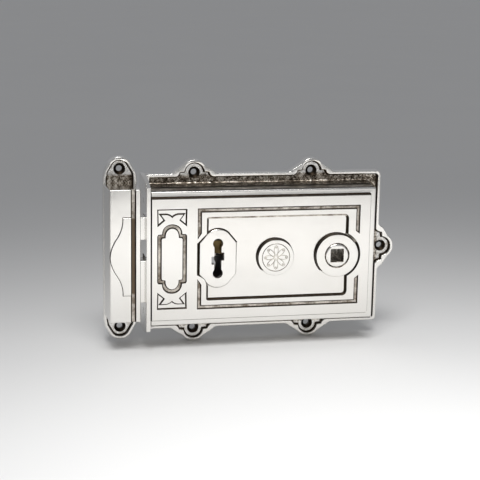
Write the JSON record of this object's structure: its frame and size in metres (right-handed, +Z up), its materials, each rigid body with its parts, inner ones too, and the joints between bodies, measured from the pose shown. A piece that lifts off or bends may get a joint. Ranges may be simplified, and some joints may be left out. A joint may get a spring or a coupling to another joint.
{
  "type": "rim night latch",
  "caption": "Cast rim lock for a door with a knob-worked spring latch, a keyed lever dead bolt and the keep both bolts enter.",
  "frame": {"origin": "middle of the lock's back, on the door's face", "axes": "+X along the door away from its edge, so the bolts point along -X; +Y into the door; +Z up"},
  "size_m": [0.1849, 0.0354, 0.1173],
  "materials": {
    "polished_nickel": "polished nickel plate on a brass casting, aged dark in the recesses",
    "plain_steel": "bright steel, lightly greased",
    "spring_steel": "tempered spring steel",
    "lever_brass": "rolled brass plate"
  },
  "bodies": {
    "lock_case": {"case": "polished_nickel", "fore_end": "polished_nickel", "fore_end_rivet_top": "polished_nickel", "fore_end_rivet_bottom": "polished_nickel", "back_plate": "plain_steel", "plate_screw_left_top": "plain_steel", "plate_screw_left_bottom": "plain_steel", "plate_screw_right_top": "plain_steel", "plate_screw_right_bottom": "plain_steel", "latch_spring_stop": "plain_steel", "latch_spring": "spring_steel", "lever_pivot": "plain_steel", "lever_collar": "plain_steel", "lever_spring_stop": "plain_steel", "bolt_guide_post": "plain_steel", "keep": "polished_nickel"},
    "follower": {"follower": "polished_nickel"},
    "latch": {"latch_bolt": "polished_nickel"},
    "dead_bolt": {"dead_bolt": "polished_nickel", "bolt_stump": "plain_steel"},
    "lever_1": {"lever_1": "lever_brass", "lever_spring_1": "spring_steel"},
    "lever_2": {"lever_2": "lever_brass", "lever_spring_2": "spring_steel"},
    "lever_3": {"lever_3": "lever_brass", "lever_spring_3": "spring_steel"}
  },
  "joints": [
    {"name": "follower_turn", "type": "hinge", "parent": "lock_case", "child": "follower", "pos_m": [0.0423, 0, 0], "axis": [0, 1, 0], "range_deg": [0, 45]},
    {"name": "latch_slide", "type": "slide", "parent": "lock_case", "child": "latch", "axis": [1, 0, 0], "range_m": [0, 0.0115], "stiffness_N_per_m": 350, "springref_m": -0.012, "deforming": ["latch_spring"]},
    {"name": "bolt_slide", "type": "slide", "parent": "lock_case", "child": "dead_bolt", "axis": [1, 0, 0], "range_m": [0, 0.0125]},
    {"name": "lever_1_lift", "type": "hinge", "parent": "lock_case", "child": "lever_1", "pos_m": [0.007, 0, 0.005], "axis": [0, 1, 0], "range_deg": [0, 6], "stiffness_Nm_per_rad": 0.06, "springref_deg": -17.19, "deforming": ["lever_spring_1"]},
    {"name": "lever_2_lift", "type": "hinge", "parent": "lock_case", "child": "lever_2", "pos_m": [0.007, 0, 0.005], "axis": [0, 1, 0], "range_deg": [0, 6], "deforming": ["lever_spring_2"]},
    {"name": "lever_3_lift", "type": "hinge", "parent": "lock_case", "child": "lever_3", "pos_m": [0.007, 0, 0.005], "axis": [0, 1, 0], "range_deg": [0, 6], "deforming": ["lever_spring_3"]}
  ],
  "couplings": [
    {"joint": "follower_turn", "follows": "latch_slide", "rad_per_m": 68.2},
    {"joint": "lever_2_lift", "follows": "lever_1_lift", "ratio": 1},
    {"joint": "lever_3_lift", "follows": "lever_1_lift", "ratio": 1}
  ]
}
